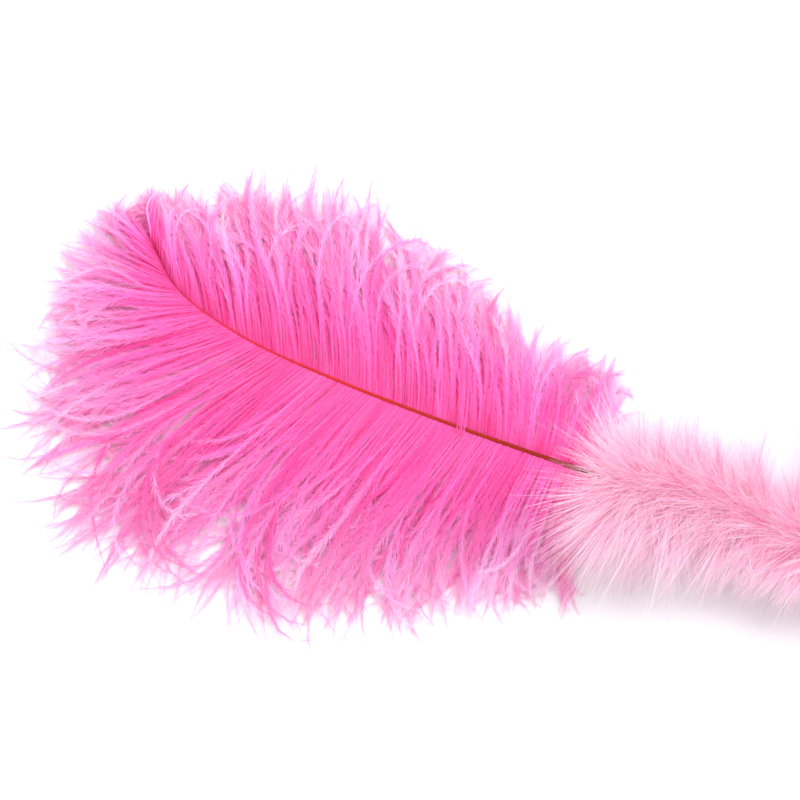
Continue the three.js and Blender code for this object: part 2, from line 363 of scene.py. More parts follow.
cordFinish = gradientMaterial(
    "twistedCotton", [(0.0, (0.98, 0.5, 0.66)), (1.0, (0.98, 0.54, 0.7))], 0.75, (2500, 6, 1), 0.3,
)
tailBend = boa["length"] - boa["tailLength"]
cordStart = plume["lashingRadius"] + cordPiece["endGap"]
cordEnd = boa["length"] - 2 * boa["knotRadius"] - cordPiece["endGap"]
headBendPlace = core.at(boa["headLength"])
headBendAhead = core.ahead(boa["headLength"])
tailBendPlace = core.at(tailBend)
tailBendAhead = core.ahead(tailBend)

headCordEnd = boa["headLength"] + cordPiece["pastBend"]
cordBend = cordPiece["bendReach"] * headBendAhead
headCord, headLine = buildCord("head_core_cord", cordStart, headCordEnd)
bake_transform(headCord, "head", "boa", headBendPlace - cordBend, headBendPlace + cordBend)
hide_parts("head_cord")
mainCordEnd, tailCordStart = tailBend - cordPiece["gap"], tailBend + cordPiece["gap"]
mainCord, mainLine = buildCord("boa_core_cord", headCordEnd, mainCordEnd)
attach(mainCord, "boa")
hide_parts("boa_cord")
tailCord, tailLine = buildCord("tail_core_cord", tailCordStart, cordEnd)
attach(tailCord, "tail")
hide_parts("tail_cord")


def buildKnot():  # an overhand knot pulled tight
    centre = core.at(boa["length"] - boa["knotRadius"])
    ahead = core.ahead(boa["length"] - boa["knotRadius"])
    left = unit(np.cross(up, ahead))
    t = np.linspace(0, 2 * math.pi, 97)
    size = boa["knotRadius"]
    x = (np.sin(t) + 2 * np.sin(2 * t)) * size * 0.2
    y = (np.cos(t) - 2 * np.cos(2 * t)) * size * 0.2
    z = -np.sin(3 * t) * size * 0.32
    line = centre + x[:, None] * ahead + y[:, None] * up + z[:, None] * left
    direction = unit(np.gradient(line, axis=0))
    side = unit(np.cross(direction, left + 0.01))
    radius = np.full(len(t), size * 0.3)
    frames = (side[:-1], np.cross(direction, side)[:-1])
    knot = sweepTube("tail_knot_cord", line[:-1], frames, radius[:-1], cordPiece["knotSides"])
    knot.data.materials.append(cordFinish)
    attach(knot, "tail")
    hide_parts("tail_knot")


buildKnot()
print("core cord and knot")


def featherMaterial(name, stops, darkest, lightest, see, roughness, sheen, sheenTint):
    material, nodes, links, _, split = startMaterial(name)
    surface = nodes["Principled BSDF"]
    out = nodes["Material Output"]
    along = colorRamp(nodes, links, split["X"], stops)  # from the strand's root to its end
    tone = colorRamp(nodes, links, split["Y"], [(0, darkest), (1, lightest)])  # each strand's tone, with painted shade on the plume's lower layer and painted highlights on the pale down fibres
    mix = nodes.new("ShaderNodeMix")
    mix.data_type = "RGBA"
    mix.blend_type = "MULTIPLY"
    mix.inputs["Factor"].default_value = 1
    links.new(along, mix.inputs[6])  # 6 and 7 are its two colours
    links.new(tone, mix.inputs[7])
    links.new(mix.outputs[2], surface.inputs["Base Color"])
    surface.inputs["Roughness"].default_value = roughness
    surface.inputs["Specular IOR Level"].default_value = 0.35
    surface.inputs["Sheen Weight"].default_value = sheen
    surface.inputs["Sheen Roughness"].default_value = 0.4
    surface.inputs["Sheen Tint"].default_value = (*sheenTint, 1)
    through = nodes.new("ShaderNodeBsdfTranslucent")
    links.new(mix.outputs[2], through.inputs["Color"])
    blend = nodes.new("ShaderNodeMixShader")
    blend.inputs["Fac"].default_value = see
    links.new(surface.outputs[0], blend.inputs[1])
    links.new(through.outputs[0], blend.inputs[2])
    links.new(blend.outputs[0], out.inputs["Surface"])
    return material


barbFinish = featherMaterial(
    "ostrichBarb",
    [(0.0, (1.0, 0.2, 0.62)), (0.3, (1.0, 0.29, 0.77)), (0.6, (0.99, 0.56, 0.9)), (1.0, (0.98, 0.9, 0.97))],
    (0.96, 0.36, 0.62), (1.0, 1.0, 1.0), 0.42, 0.55, 0.25, (1.0, 0.75, 0.9),
)
downFinish = featherMaterial(
    "marabouDown",
    [(0.0, (0.99, 0.46, 0.66)), (0.25, (1.0, 0.62, 0.8)), (0.6, (1.0, 0.79, 0.9)), (1.0, (1.0, 0.95, 0.985))],
    (0.97, 0.76, 0.86), (1.0, 1.0, 1.0), 0.45, 0.45, 0.3, (1.0, 0.95, 0.98),
)


def newTree(name, inputs):
    tree = bpy.data.node_groups.new(name, "GeometryNodeTree")
    tree.interface.new_socket("Geometry", in_out="INPUT", socket_type="NodeSocketGeometry")
    for label, kind, value in inputs:
        socket = tree.interface.new_socket(label, in_out="INPUT", socket_type=kind)
        if value is not None:
            socket.default_value = value
    tree.interface.new_socket("Geometry", in_out="OUTPUT", socket_type="NodeSocketGeometry")
    return tree


def named(tree, attribute, kind="FLOAT"):
    node = tree.nodes.new("GeometryNodeInputNamedAttribute")
    node.data_type = kind
    node.inputs["Name"].default_value = attribute
    return node.outputs["Attribute"]


def maths(tree, operation, *values):
    node = tree.nodes.new("ShaderNodeMath")
    node.operation = operation
    for socket, value in zip(node.inputs, values):
        if isinstance(value, (int, float)):
            socket.default_value = value
        else:
            tree.links.new(value, socket)
    return node.outputs[0]


def randomValue(tree, low, high, seed, seedOffset):
    node = tree.nodes.new("FunctionNodeRandomValue")
    node.data_type = "FLOAT"
    minimum = [s for s in node.inputs if s.name == "Min" and s.type == "VALUE"][0]
    maximum = [s for s in node.inputs if s.name == "Max" and s.type == "VALUE"][0]
    minimum.default_value, maximum.default_value = low, high
    tree.links.new(maths(tree, "ADD", seed, seedOffset), node.inputs["Seed"])
    return [s for s in node.outputs if s.type == "VALUE"][0]


def finishStrands(tree, geometry, material, along, across):  # the strands' map, their finish, and the output
    link = tree.links.new
    realize = tree.nodes.new("GeometryNodeRealizeInstances")
    link(geometry, realize.inputs["Geometry"])
    store = tree.nodes.new("GeometryNodeStoreNamedAttribute")
    store.data_type = "FLOAT2"
    store.domain = "CORNER"
    store.inputs["Name"].default_value = featherMap
    place = tree.nodes.new("ShaderNodeCombineXYZ")
    link(along, place.inputs["X"])
    link(across, place.inputs["Y"])
    link(realize.outputs[0], store.inputs["Geometry"])
    link(place.outputs[0], store.inputs["Value"])
    paint = tree.nodes.new("GeometryNodeSetMaterial")
    link(store.outputs[0], paint.inputs["Geometry"])
    link(material, paint.inputs["Material"])
    out = tree.nodes.new("NodeGroupOutput")
    link(paint.outputs[0], out.inputs["Geometry"])


def ribbons(tree, curves, width):  # a flat ribbon along every curve, as wide as its width attribute says
    link = tree.links.new
    normals = tree.nodes.new("GeometryNodeSetCurveNormal")
    normals.mode = "Z_UP"
    link(curves, normals.inputs["Curve"])
    tilt = tree.nodes.new("GeometryNodeSetCurveTilt")
    link(normals.outputs[0], tilt.inputs["Curve"])
    link(named(tree, "twist"), tilt.inputs["Tilt"])
    line = tree.nodes.new("GeometryNodeCurvePrimitiveLine")
    line.inputs["Start"].default_value = (-0.5, 0, 0)
    line.inputs["End"].default_value = (0.5, 0, 0)
    mark = tree.nodes.new("GeometryNodeStoreNamedAttribute")
    mark.data_type = "FLOAT"
    mark.domain = "POINT"
    mark.inputs["Name"].default_value = "across"
    index = tree.nodes.new("GeometryNodeInputIndex")
    link(line.outputs[0], mark.inputs["Geometry"])
    link(index.outputs[0], mark.inputs["Value"])
    sweep = tree.nodes.new("GeometryNodeCurveToMesh")
    link(tilt.outputs[0], sweep.inputs["Curve"])
    link(mark.outputs[0], sweep.inputs["Profile Curve"])
    link(maths(tree, "MULTIPLY", named(tree, "taper"), width), sweep.inputs["Scale"])
    return sweep.outputs[0], normals.outputs[0]


def strandMap(tree, lift):
    along = maths(tree, "ADD", maths(tree, "MULTIPLY", named(tree, "shade"), 1 - lift - 0.02),
                  maths(tree, "MULTIPLY", named(tree, "tipness"), lift))
    along = maths(tree, "ADD", along, 0.01)
    tone = maths(tree, "MULTIPLY", named(tree, "tone"), 0.94)
    side = maths(tree, "MULTIPLY", named(tree, "across"), 0.02)
    return along, maths(tree, "ADD", maths(tree, "ADD", tone, side), 0.02)


def fibreTree():  # down: a ribbon along every guide
    tree = newTree("downFibres", [
        ("Width", "NodeSocketFloat", 0.2 * mm),
        ("Finish", "NodeSocketMaterial", None),
    ])
    given = tree.nodes.new("NodeGroupInput")
    toCurve = tree.nodes.new("GeometryNodeMeshToCurve")
    tree.links.new(given.outputs["Geometry"], toCurve.inputs["Mesh"])
    mesh, _ = ribbons(tree, toCurve.outputs[0], given.outputs["Width"])
    finishStrands(tree, mesh, given.outputs["Finish"], *strandMap(tree, 0.0))
    return tree


def barbTree():  # ostrich: a ribbon along every barb, and barbules on both its sides
    tree = newTree("ostrichBarbs", [
        ("Barb Width", "NodeSocketFloat", 0.3 * mm),
        ("Barbule Pitch", "NodeSocketFloat", 0.4 * mm),
        ("Barbule", "NodeSocketObject", None),
        ("Lean Least", "NodeSocketFloat", 0.35),
        ("Lean Most", "NodeSocketFloat", 0.8),
        ("Roll Spread", "NodeSocketFloat", 0.9),
        ("Seed", "NodeSocketInt", 1),
        ("Finish", "NodeSocketMaterial", None),
    ])
    link = tree.links.new
    given = tree.nodes.new("NodeGroupInput")
    toCurve = tree.nodes.new("GeometryNodeMeshToCurve")
    link(given.outputs["Geometry"], toCurve.inputs["Mesh"])
    barbs, curves = ribbons(tree, toCurve.outputs[0], given.outputs["Barb Width"])
    points = tree.nodes.new("GeometryNodeCurveToPoints")
    points.mode = "LENGTH"
    link(curves, points.inputs["Curve"])
    link(given.outputs["Barbule Pitch"], points.inputs["Length"])
    seed = given.outputs["Seed"]
    index = tree.nodes.new("GeometryNodeInputIndex")
    side = maths(tree, "MULTIPLY", maths(tree, "MODULO", index.outputs[0], 2.0), math.pi)
    jitter = maths(tree, "MULTIPLY", randomValue(tree, -1.0, 1.0, seed, 1), given.outputs["Roll Spread"])
    lean = tree.nodes.new("ShaderNodeMapRange")
    link(randomValue(tree, 0.0, 1.0, seed, 2), lean.inputs["Value"])
    link(given.outputs["Lean Least"], lean.inputs["To Min"])
    link(given.outputs["Lean Most"], lean.inputs["To Max"])
    turn = tree.nodes.new("ShaderNodeCombineXYZ")
    link(maths(tree, "MULTIPLY", lean.outputs[0], named(tree, "lean")), turn.inputs["Y"])
    link(maths(tree, "ADD", side, jitter), turn.inputs["Z"])
    toRotation = tree.nodes.new("FunctionNodeEulerToRotation")
    link(turn.outputs[0], toRotation.inputs[0])
    rotate = tree.nodes.new("FunctionNodeRotateRotation")
    rotate.rotation_space = "LOCAL"
    link(points.outputs["Rotation"], rotate.inputs["Rotation"])
    link(toRotation.outputs[0], rotate.inputs["Rotate By"])
    blade = tree.nodes.new("GeometryNodeObjectInfo")
    link(given.outputs["Barbule"], blade.inputs["Object"])
    size = maths(tree, "MULTIPLY", named(tree, "barbule"), randomValue(tree, 0.7, 1.25, seed, 3))
    place = tree.nodes.new("GeometryNodeInstanceOnPoints")
    link(points.outputs["Points"], place.inputs["Points"])
    link(blade.outputs["Geometry"], place.inputs["Instance"])
    link(rotate.outputs[0], place.inputs["Rotation"])
    link(size, place.inputs["Scale"])
    both = tree.nodes.new("GeometryNodeJoinGeometry")
    link(barbs, both.inputs[0])
    link(place.outputs[0], both.inputs[0])
    finishStrands(tree, both.outputs[0], given.outputs["Finish"], *strandMap(tree, 0.12))
    return tree


def guideObject(name, lines, attributes):  # lines is (strands, points, 3), each attribute (strands, points)
    count, steps = lines.shape[:2]
    mesh = bpy.data.meshes.new(name)
    mesh.vertices.add(count * steps)
    mesh.vertices.foreach_set("co", lines.astype(np.float32).ravel())
    first = (np.arange(count)[:, None] * steps + np.arange(steps - 1)).ravel()
    mesh.edges.add(len(first))
    mesh.edges.foreach_set("vertices", np.stack([first, first + 1], 1).astype(np.int32).ravel())
    for label, values in attributes.items():
        layer = mesh.attributes.new(label, "FLOAT", "POINT")
        layer.data.foreach_set("value", np.broadcast_to(values, (count, steps)).astype(np.float32).ravel())
    item = bpy.data.objects.new(name, mesh)
    bpy.context.scene.collection.objects.link(item)
    return item


def grow(guide, tree, name, values):  # runs the tree on the guides and keeps the plain mesh
    modifier = guide.modifiers.new("grow", "NODES")
    modifier.node_group = tree
    sockets = {s.name: s.identifier for s in tree.interface.items_tree if s.in_out == "INPUT"}
    for label, value in values.items():
        modifier[sockets[label]] = value
    graph = bpy.context.evaluated_depsgraph_get()
    grown = guide.evaluated_get(graph)
    mesh = bpy.data.meshes.new_from_object(grown, preserve_all_data_layers=True, depsgraph=graph)
    mesh.name = name
    keep = {featherMap, "position", "material_index", "sharp_face"}
    for label in [a.name for a in mesh.attributes if a.name not in keep and not a.name.startswith(".")]:
        mesh.attributes.remove(mesh.attributes[label])
    piece = bpy.data.objects.new(name, mesh)
    bpy.context.scene.collection.objects.link(piece)
    old = guide.data
    bpy.data.objects.remove(guide)
    bpy.data.meshes.remove(old)
    return piece


fibres, barbs = fibreTree(), barbTree()
print("node trees: fibres and barbs")


barb = {
    "pitch": 0.42 * mm,
    "points": 16,
    "width": 0.3 * mm,
    "barbulePitch": 0.42 * mm,
    "lockSpacing": 5.5 * mm,
    "clump": 0.62,
    "angleSpread": 3.5,
    "curlSpread": 22.0,
    "lengthSpread": 0.05,
    "lowest": -128 * mm,  # barbs that reach past this draw in
    "wisps": 0.13,
    "hooked": 0.14,  # the share of locks that curl at their ends
    "unlocked": (0.85, 0.25),  # the share of barbs that keep out of the locks, in the lower and upper layer
    "hookTurn": (80, 170),
    "wispTurn": (50, 230),
    "arch": (2, 9),  # how high a lock stands over the shaft's line, in millimetres
    "rest": (0.5, 5),  # and how high its end lies
    "crossing": 0.3,  # the share of the shaft where a few barbs lie across it
    "crossingBarbs": 6,
    "tipBarbs": 90,
    "seed": 11,
}
barbuleShape = {"width": 0.055, "bend": 0.16, "lean": (0.35, 0.85), "roll": 0.8}


def barbuleBlade():
    w, b = barbuleShape["width"] / 2, barbuleShape["bend"]
    corners = [(-w, 0, 0), (w, 0, 0), (w * 0.8 - b * 0.3, 0, 0.55), (-w * 0.8 - b * 0.3, 0, 0.55), (-b, 0, 1)]
    mesh = bpy.data.meshes.new("barbule")
    mesh.from_pydata(corners, [], [(0, 1, 2, 3), (3, 2, 4)])
    for label, values in (("tipness", [0, 0, 0.55, 0.55, 1]), ("across", [0, 1, 1, 0, 0.5])):
        mesh.attributes.new(label, "FLOAT", "POINT").data.foreach_set("value", values)
    blade = bpy.data.objects.new("barbule", mesh)
    bpy.context.scene.collection.objects.link(blade)
    return blade


def barbAngles(side, share):  # degrees toward the tip, at the shaft and at the barb's end
    back = 1 - smoothstep(share, 0.03, 0.24)  # barbs by the root lean back over the marabou
    if side > 0:
        return 12 + 50 * share**3 - 20 * back, 24 + 56 * share**1.5 - 26 * back
    return 17 + 46 * share**3 - 14 * back, -2 + 84 * share**1.9 - 23 * back


def shaftFrames(share, side):
    distance = share * shaftLine.length
    ahead = shaftLine.ahead(distance)
    ahead[:, 2] = 0
    ahead = unit(ahead)
    out = side * np.stack([ahead[:, 1], -ahead[:, 0], np.zeros(len(ahead))], -1)
    return shaftLine.at(distance), ahead, out


def barbLines(side, share, angles, curl, wave, length, height, points):
    root, ahead, out = shaftFrames(share, side)
    u = np.linspace(0, 1, points)
    mid = (u[1:] + u[:-1]) / 2
    a0, a1 = angles
    heading = np.radians(a0[:, None] + (a1 - a0)[:, None] * mid + curl[:, None] * mid**3)
    step = (length / (points - 1))[:, None, None]
    heading = heading + wave[:, :1] * np.sin(wave[:, 1:2] + 7 * mid) * mid
    move = (np.cos(heading)[..., None] * out[:, None] + np.sin(heading)[..., None] * ahead[:, None]) * step
    line = np.concatenate([np.zeros((len(share), 1, 3)), np.cumsum(move, 1)], 1) + root[:, None]
    arch, end = height
    drop = 1 - smoothstep(u, 0, 0.75)
    line[..., 2] = root[:, 2:3] * drop + arch[:, None] * np.sin(math.pi * u**0.8) + end[:, None] * u**2
    return line


def vaneGuides(side, rng):
    first = 0.04
    spread = shaftLine.length * (1 - first)
    count = int(spread / barb["pitch"])
    share = first + (1 - first) * (np.arange(count) + rng.uniform(0, 1, count)) / count
    share = np.sort(share)
    layer = np.arange(count) % 2
    u = np.linspace(0, 1, barb["points"])
    lines = np.zeros((count, barb["points"], 3))
    tone = np.zeros(count)
    longest, profile = plume["longestBarb"][side], plume["barbProfile"][side]
    for k in (0, 1):
        own = np.flatnonzero(layer == k)
        locks = int(spread / barb["lockSpacing"])
        centre = first + (1 - first) * (np.arange(locks) + rng.uniform(0.1, 0.9, locks)) / locks
        nearest = np.abs(share[own][:, None] - centre[None]).argmin(1)
        turn = rng.normal(0, barb["angleSpread"], locks)
        curl = rng.normal(0, barb["curlSpread"], locks)
        hooked = rng.uniform(0, 1, locks) < barb["hooked"]
        curl = np.where(hooked, np.sign(curl) * rng.uniform(*barb["hookTurn"], locks), curl)
        grown = 1 + rng.normal(0, barb["lengthSpread"], locks)
        arch = rng.uniform(*barb["arch"], locks) * mm + k * 2 * mm
        end = rng.uniform(*barb["rest"], locks) * mm
        hue = rng.normal(0, 0.16, locks)

        def made(at, lock, wobble, wisp):
            n = len(at)
            a0, a1 = barbAngles(side, at)
            a0 = a0 + wobble * rng.normal(0, 2.5, n)
            a1 = a1 + turn[lock] + wobble * rng.normal(0, 4, n)
            size = longest * np.interp(at, np.linspace(0, 1, len(profile)), profile) * grown[lock]
            size = size * (1 + wobble * rng.normal(0, 0.05, n))
            bent = curl[lock] + wobble * rng.normal(0, 34, n)
            size = size * (1 + 0.1 * wisp * rng.uniform(0.3, 1, n))
            bent = bent + wisp * rng.choice([-1, 1], n) * rng.uniform(*barb["wispTurn"], n)
            wave = np.stack([wobble * rng.normal(0, 0.4, n), rng.uniform(0, 6.3, n)], 1)
            high = arch[lock] + wobble * rng.uniform(-1.5, 3, n) * mm
            low = end[lock] + wobble * rng.uniform(0, 3, n) * mm
            return barbLines(side, at, (a0, a1), bent, wave, size, (high, low), barb["points"])

        wisp = rng.uniform(0, 1, len(own)) < barb["wisps"]
        mine = made(share[own], nearest, 1, wisp)
        guide = made(centre, np.arange(locks), 0, 0)
        pull = barb["clump"] * smoothstep(u, 0.3, 0.9) * rng.uniform(0.4, 1, locks)[nearest][:, None]
        loose = np.maximum(wisp, rng.uniform(0, 1, len(own)) < barb["unlocked"][k])
        pull = pull * (1 - 0.85 * loose)[:, None]
        lines[own] = mine + (guide[nearest] - mine) * pull[..., None]
        # the lower layer (k 0) gets a darker tone, painted shade beneath the upper barbs, and the upper layer
        # a lighter one; the rest of the tone differs at random
        tone[own] = 0.3 + 0.4 * k + hue[nearest] + rng.normal(0, 0.2, len(own)) + 0.25 * wisp
        lines[own, :, 2] += (k - 1) * 0.9 * mm * (1 - u)
        if side > 0 and k == 1:
            over = own[np.argsort(np.abs(share[own] - barb["crossing"]))[: barb["crossingBarbs"]]]
            lines[over] -= (1 - smoothstep(u, 0, 0.3))[None, :, None] * 3.5 * mm * np.array([0.2, 0.9, -0.75])
    lines[..., 2] = np.maximum(lines[..., 2], 0.4 * mm)
    past = np.clip(barb["lowest"] - lines[..., 1], 0, None)
    lines[..., 1] += past - 7 * mm * np.tanh(past / (7 * mm))
    return share, lines, np.clip(tone, 0, 1), layer


def tipGuides(rng):
    count = barb["tipBarbs"]
    side = np.where(np.arange(count) % 2, 1, -1)
    share = 1 - rng.uniform(0, 0.012, count)
    lines = np.zeros((count, barb["points"], 3))
    for s in (1, -1):
        own = np.flatnonzero(side == s)
        n = len(own)
        start, end = barbAngles(s, 1)
        fan = rng.uniform(0, 1, n)
        a0 = start + (90 - start) * fan
        a1 = end + (94 - end) * fan + rng.normal(0, 6, n)
        longest = plume["longestBarb"][s] * plume["barbProfile"][s][-1]
        size = longest * rng.uniform(0.7, 1.1, n) * (1 - 0.38 * fan)
        height = (rng.uniform(1, 4, n) * mm, rng.uniform(0.5, 4, n) * mm)
        wave = np.stack([rng.normal(0, 0.3, n), rng.uniform(0, 6.3, n)], 1)
        curl = rng.normal(0, 30, n)
        lines[own] = barbLines(s, share[own], (a0, a1), curl, wave, size, height, barb["points"])
    lines[..., 2] = np.maximum(lines[..., 2], 0.4 * mm)
    return lines, np.clip(rng.normal(0.6, 0.2, count), 0, 1), (side > 0).astype(int)


def barbAttributes(lines, tone, layer, rng):
    u = np.linspace(0, 1, barb["points"])
    count = len(lines)
    length = np.linalg.norm(np.diff(lines, axis=1), axis=2).sum(1)
    fluff = np.interp(u, [0, 0.1, 0.35, 0.6, 0.85, 1], [1.6, 2.6, 3.8, 5.4, 4.2, 1.6]) * mm
    small = np.clip(length / (70 * mm), 0.45, 1)[:, None]
    return {
        # the lower layer's wide ribbons fill the gaps between the upper barbs, and their darker tone is
        # painted shade there
        "taper": np.where(layer[:, None] == 1, np.interp(u, [0, 0.6, 1], [0.95, 0.85, 0.35]),
                          np.interp(u, [0, 0.3, 0.65, 1], [3.6, 3.9, 2.2, 0.45])),
        "twist": rng.normal(0, 0.45, count)[:, None],
        "tone": tone[:, None],
        "shade": np.clip(u**1.1 + rng.normal(0, 0.07, count)[:, None], 0, 1),
        "barbule": fluff * small,
        "lean": np.interp(u, [0, 0.3, 0.6, 1], [0.7, 0.8, 0.9, 0.8]),
    }


def buildTuft(name, lines, tone, layer, blade, seed, rng):
    guide = guideObject(name + "Guides", lines, barbAttributes(lines, tone, layer, rng))
    tuft = grow(guide, barbs, name, {
        "Barb Width": barb["width"],
        "Barbule Pitch": barb["barbulePitch"],
        "Barbule": blade,
        "Lean Least": barbuleShape["lean"][0],
        "Lean Most": barbuleShape["lean"][1],
        "Roll Spread": barbuleShape["roll"],
        "Seed": seed,
        "Finish": barbFinish,
    })
    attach(tuft, "plume")
    return tuft


def buildVanes():
    rng = np.random.default_rng(barb["seed"])
    blade = barbuleBlade()
    edges = np.linspace(plume["vaneStart"], 1, plume["tufts"] + 1)
    total = 0
    for side, word in ((1, "upper"), (-1, "lower")):
        share, lines, tone, layer = vaneGuides(side, rng)
        which = np.clip(np.searchsorted(edges, share, side="right") - 1, 0, plume["tufts"] - 1)
        for i in range(plume["tufts"]):
            own = which == i
            node = f"{word}_vane_tuft_{i + 1}"
            seed = i + (side > 0) * 50
            tuft = buildTuft(node + "_barbs", lines[own], tone[own], layer[own], blade, seed, rng)
            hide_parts(node)
            total += len(tuft.data.polygons)
    lines, tone, layer = tipGuides(rng)
    tip = buildTuft("plume_tip_barbs", lines, tone, layer, blade, 99, rng)
    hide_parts("plume_tip_tuft")
    bladeMesh = blade.data
    bpy.data.objects.remove(blade)
    bpy.data.meshes.remove(bladeMesh)
    print("vanes:", total, "faces")


buildVanes()


shaftPiece = {
    "sides": 14,
    "steps": 120,
    "groove": 0.22,
    "flatten": 0.85,
    "rootSteps": 36,
    "rootSwell": 1.15,  # the root is a little thicker than the shaft would be there
}


def buildShaft():
    sides = shaftPiece["sides"]
    share = np.linspace(plume["rootEnd"] / plume["length"], 1, shaftPiece["steps"])
    distance = share * shaftLine.length
    radius = plume["baseRadius"] + (plume["tipRadius"] - plume["baseRadius"]) * share

    def grooved(k, angle):  # a quill has a shallow groove along its top and is a little flat
        dip = np.exp(-(((angle - math.pi / 2) / 0.35) ** 2))
        return (1 - shaftPiece["groove"] * dip) * (1 - (1 - shaftPiece["flatten"]) * np.sin(angle) ** 2)

    frames = uprightFrames(shaftLine.ahead(distance))
    shaft = sweepTube("shaft_quill", shaftLine.at(distance), frames, radius, sides, grooved)
    shaft.data.materials.append(gradientMaterial(
        "dyedQuill",
        [(0.0, (0.24, 0.02, 0.003)), (0.2, (0.34, 0.022, 0.005)), (0.5, (0.55, 0.022, 0.014)),
         (0.8, (0.62, 0.02, 0.06)), (1.0, (0.7, 0.02, 0.15))],
        0.55, (60, 9, 1), 0.25,
    ))
    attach(shaft, "plume")
    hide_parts("plume_shaft")

    start, end = plume["lashingRadius"] + 0.4 * mm, plume["rootEnd"] - 0.4 * mm
    distance = np.linspace(start, end, shaftPiece["rootSteps"])
    thinned = (plume["tipRadius"] - plume["baseRadius"]) * distance / plume["length"]
    radius = shaftPiece["rootSwell"] * (plume["baseRadius"] + thinned)

    def scraped(k, angle):
        return 1 - 0.1 * np.sin(angle) ** 2 + 0.03 * np.sin(3 * angle + 0.5 * k)

    frames = uprightFrames(shaftLine.ahead(distance))
    root = sweepTube("quill_root_end", shaftLine.at(distance), frames, radius, sides, scraped)
    root.data.materials.append(gradientMaterial(
        "quillRootHorn", [(0.0, (0.2, 0.028, 0.02)), (0.5, (0.2, 0.022, 0.01)), (1.0, (0.26, 0.02, 0.004))],
        0.8, (14, 8, 1), 0.3,
    ))
    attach(root, "plume")
    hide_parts("quill_root")
    print("shaft and root")


lashing = {
    "turns": 9,
    "wire": 0.38 * mm,
    "sides": 8,
    "perTurn": 16,
    "reach": 2.95 * mm,
    "waist": 1.9 * mm,
    "bulge": 1.4 * mm,
}


def buildLashing():  # thread wound round the joint in a barrel of turns
    pivot = np.array([plume["pivotX"], 0, coreHeight])
    t = np.linspace(0, 1, lashing["turns"] * lashing["perTurn"] + 1)
    angle = 2 * math.pi * lashing["turns"] * t
    r = lashing["waist"] + lashing["bulge"] * np.sin(math.pi * t)
    line = np.stack([lashing["reach"] * (2 * t - 1), r * np.cos(angle), r * np.sin(angle)], -1) + pivot
    ahead = unit(np.gradient(line, axis=0))
    side = unit(np.cross(ahead, np.array([1.0, 0, 0])))
    radius = np.full(len(t), lashing["wire"])
    thread = sweepTube("lashing_windings", line, (side, np.cross(ahead, side)), radius, lashing["sides"])
    thread.data.materials.append(gradientMaterial(
        "sewingThread", [(0.0, (0.75, 0.11, 0.34)), (1.0, (0.82, 0.16, 0.42))], 0.6, (900, 5, 1), 0.45,
    ))
    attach(thread, "lashing")
    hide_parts("lashing_thread")
    print("lashing")


buildShaft()
buildLashing()


down = {
    "rachis": {"near": 17 * mm, "far": 15 * mm},
    "fibre": {"near": 30 * mm, "far": 26 * mm},
    "fibreSpread": 0.22,
    "droop": 0.5,
    # both of these are millimetres along X, and the fluff's length there
    "drape": ([-30, 0, 34, 71, 110], [0.74, 0.66, 0.42, 0.05, 0]),  # more on one side of the head
    "narrowing": ([-30, 0, 34, 71, 130, 180], [0.94, 0.92, 0.87, 0.76, 0.78, 1]),  # on every side
    "seed": 29,
    "points": {"near": 9, "far": 6},
    "feathers": {"near": 112, "far": 72},  # in each cluster
    "fibres": {"near": 70, "far": 40},  # on each feather
    "width": {"near": 0.19 * mm, "far": 0.62 * mm},
    "rise": 37 * mm,  # fluff over this height above the core lies flatter
    "longPaintedHighlight": 0.07,  # the share of fibres made a little longer and painted pale, as painted highlights
    "perFeathers": {"near": 57 * mm, "far": 72 * mm},  # the length of cord that the feathers count is for
    "leave": ([0, 1], [50, 6]),  # degrees that a fibre leaves its rachis by, from root to end
    "lean": (-0.75, 0.3),
    "nose": {"lean": (-1.15, -0.3), "most": 0.9, "reach": (-1 * mm, 16 * mm)},  # sweeps back over the root
    "headReach": 220 * mm,  # drape and narrowing work this far along
}


